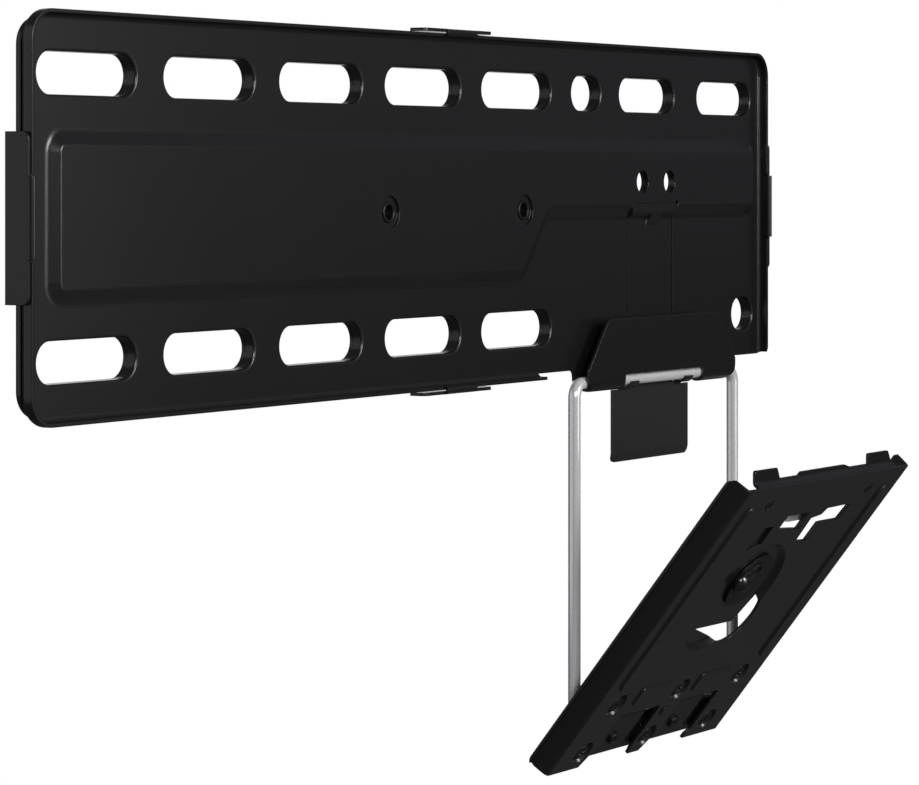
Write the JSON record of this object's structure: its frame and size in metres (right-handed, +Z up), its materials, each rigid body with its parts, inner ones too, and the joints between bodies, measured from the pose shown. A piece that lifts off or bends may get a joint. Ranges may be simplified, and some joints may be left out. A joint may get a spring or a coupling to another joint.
{
  "type": "fixed tv wall bracket",
  "caption": "Wide shallow sheet-steel wall plate with slotted fixing holes, a folded hook, a bright wire bail and a tilting hook plate.",
  "frame": {"origin": "centre of the rear tray's flat back, on the wall face", "axes": "+X to the right seen from the room, +Y into the wall, +Z up"},
  "size_m": [0.6102, 0.1165, 0.3532],
  "materials": {
    "black_sheet": "satin",
    "black_hardware": "semi gloss",
    "bright_wire": "polished",
    "grey_hinge": "dark zinc",
    "spring_steel": "bright"
  },
  "bodies": {
    "wall_plate": {"front_tray": "black_sheet", "rear_tray": "black_sheet", "tie_eyelets": "black_hardware"},
    "bail": {"bail_wire": "bright_wire"},
    "flap": {"latch_flap": "black_sheet"},
    "tilting_plate": {"tilt_plate": "black_sheet", "hinge_backplate": "black_sheet", "knuckle_left": "grey_hinge", "knuckle_right": "grey_hinge", "knuckle_screws": "black_hardware", "knuckle_nuts": "grey_hinge", "plate_screws": "black_hardware", "top_stiffener": "black_sheet", "stiffener_rivets": "black_hardware", "latch_spring": "spring_steel", "spring_washer": "spring_steel"},
    "knob": {"lock_knob": "black_hardware", "knob_stud": "bright_wire", "knob_rivet": "black_hardware", "adjust_cam": "grey_hinge", "retaining_clip": "spring_steel"}
  },
  "joints": [
    {"name": "bail_swing", "type": "hinge", "parent": "wall_plate", "child": "bail", "pos_m": [0.185, -0.01, -0.08345], "axis": [-1, 0, 0], "range_deg": [0, 90]},
    {"name": "flap_swing", "type": "hinge", "parent": "wall_plate", "child": "flap", "pos_m": [0.185, -0.01, -0.08345], "axis": [-1, 0, 0], "range_deg": [-5, 90]},
    {"name": "plate_tilt", "type": "hinge", "parent": "bail", "child": "tilting_plate", "pos_m": [0.185, -0.01, -0.24495], "axis": [1, 0, 0], "range_deg": [-37.8, 50]},
    {"name": "knob_turn", "type": "hinge", "parent": "tilting_plate", "child": "knob", "pos_m": [0.176, -0.06754, -0.18138], "axis": [0, -0.7902, -0.6129], "range_deg": [-90, 90]}
  ]
}
